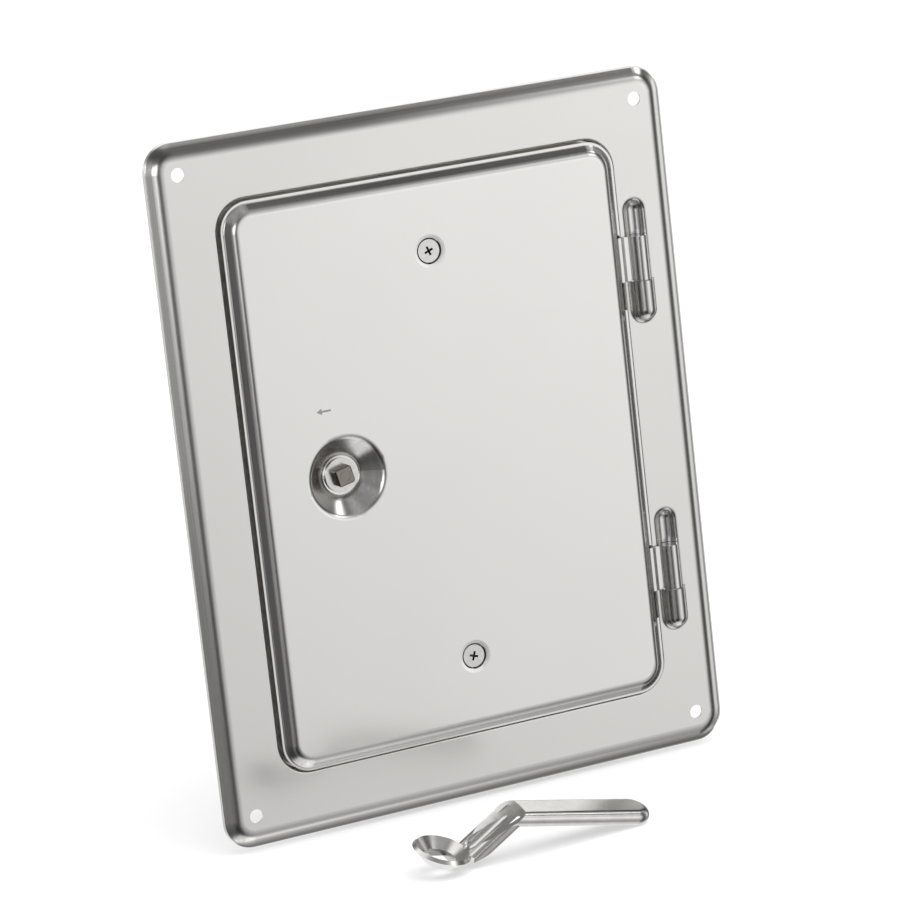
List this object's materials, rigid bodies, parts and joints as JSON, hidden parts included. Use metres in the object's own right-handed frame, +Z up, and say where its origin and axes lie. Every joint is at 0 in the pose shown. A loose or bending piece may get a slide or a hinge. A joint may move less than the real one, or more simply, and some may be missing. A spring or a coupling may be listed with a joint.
{
  "type": "chimney cleanout door",
  "caption": "Pressed steel wall frame with a hinged inspection door, a quarter-turn latch in a round dimple and a loose cranked socket key.",
  "frame": {"origin": "centre of the frame on the wall plane, which is the plane the back of the frame's outer lip rests on", "axes": "+X to the right seen from the front (the hinge side), +Y into the wall, +Z up; the door's face looks to -Y"},
  "size_m": [0.2, 0.1317, 0.2519],
  "materials": {
    "frame_steel": "bright rolled stainless sheet",
    "leaf_steel": "bright rolled stainless sheet",
    "key_steel": "bright pressed steel",
    "inner_steel": "plain rolled sheet",
    "spindle_steel": "turned and milled steel",
    "screw_steel": "plain stainless",
    "zinc_steel": "zinc plated",
    "dark_steel": "oiled spring steel",
    "insulation": "pressed mineral fibre board",
    "seal_rope": "woven glass fibre rope"
  },
  "bodies": {
    "frame": {"frame_plate": "frame_steel", "throat_collar": "inner_steel", "latch_keeper": "zinc_steel"},
    "door": {"door_leaf": "leaf_steel", "upper_hinge_pin": "zinc_steel", "lower_hinge_pin": "zinc_steel", "door_seal": "seal_rope", "insulation_board": "insulation", "rear_tray": "inner_steel", "upper_cover_screw": "screw_steel", "lower_cover_screw": "screw_steel", "upper_spacer_sleeve": "zinc_steel", "lower_spacer_sleeve": "zinc_steel", "upper_cover_washer": "zinc_steel", "lower_cover_washer": "zinc_steel", "upper_cover_nut": "zinc_steel", "lower_cover_nut": "zinc_steel", "bearing_sleeve": "zinc_steel"},
    "latch": {"latch_spindle": "spindle_steel", "thrust_washer": "dark_steel", "latch_bar": "zinc_steel", "spring_washer": "dark_steel", "latch_nut": "zinc_steel"},
    "key": {"socket_key": "key_steel"}
  },
  "joints": [
    {"name": "door_swing", "type": "hinge", "parent": "frame", "child": "door", "pos_m": [0.08375, -0.0049, 0], "axis": [0, 0, 1], "range_deg": [0, 160]},
    {"name": "latch_turn", "type": "hinge", "parent": "door", "child": "latch", "pos_m": [-0.041, -0.0059, 0], "axis": [0, -1, 0], "range_deg": [0, 90]},
    {"name": "key_lift", "type": "slide", "parent": "frame", "child": "key", "axis": [0, 0, 1], "range_m": [0, 0.06]}
  ]
}
